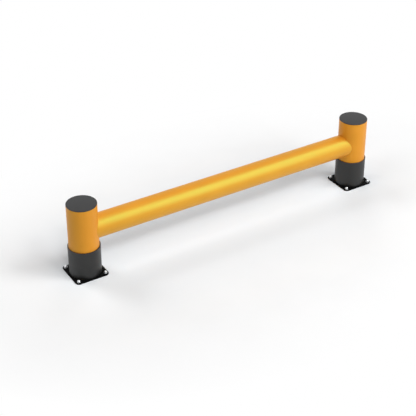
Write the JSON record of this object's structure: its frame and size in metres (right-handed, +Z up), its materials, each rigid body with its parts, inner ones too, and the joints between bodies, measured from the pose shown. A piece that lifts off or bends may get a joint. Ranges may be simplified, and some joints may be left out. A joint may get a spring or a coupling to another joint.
{
  "type": "industrial guard rail",
  "caption": "Low industrial guard rail: a large polymer tube between polymer posts on bolted steel base plates, with dark end caps and foot collars.",
  "frame": {"origin": "on the floor, midway between the two posts", "axes": "+X along the rail, from the left post to the right post; +Z up; the picture looks from the -Y side"},
  "size_m": [2.4, 0.235, 0.52],
  "materials": {
    "rail_polymer": "satin orange-yellow",
    "post_polymer": "satin orange-yellow",
    "cap_polymer": "fine matt grain, dark grey",
    "collar_polymer": "matt dark grey",
    "plate_coating": "black powder coat",
    "washer_zinc": "bright zinc plate",
    "nut_zinc": "bright zinc plate",
    "spigot_coating": "black powder coat",
    "weld_bead": "powder coat over the weld bead",
    "seat_polymer": "matt black",
    "spacer_zinc": "zinc plate",
    "saddle_zinc": "zinc plate",
    "bolt_zinc": "zinc plate"
  },
  "bodies": {
    "root": {"rail_tube": "rail_polymer", "post_tube_left": "post_polymer", "post_tube_right": "post_polymer", "post_cap_left": "cap_polymer", "post_cap_right": "cap_polymer", "collar_left": "collar_polymer", "collar_right": "collar_polymer", "base_plate_left": "plate_coating", "base_plate_right": "plate_coating", "anchor_washers_left": "washer_zinc", "anchor_washers_right": "washer_zinc", "anchor_nuts_left": "nut_zinc", "anchor_nuts_right": "nut_zinc", "spigot_tube_left": "spigot_coating", "spigot_tube_right": "spigot_coating", "foot_weld_left": "weld_bead", "foot_weld_right": "weld_bead", "spigot_head_left": "spigot_coating", "spigot_head_right": "spigot_coating", "head_weld_left": "weld_bead", "head_weld_right": "weld_bead", "rail_seat_left": "seat_polymer", "rail_seat_right": "seat_polymer", "spacer_tube_left": "spacer_zinc", "spacer_tube_right": "spacer_zinc", "saddle_washer_left": "saddle_zinc", "saddle_washer_right": "saddle_zinc", "bolt_washer_left": "washer_zinc", "bolt_washer_right": "washer_zinc", "retaining_bolt_left": "bolt_zinc", "retaining_bolt_right": "bolt_zinc", "retaining_nut_left": "nut_zinc", "retaining_nut_right": "nut_zinc"}
  },
  "joints": []
}
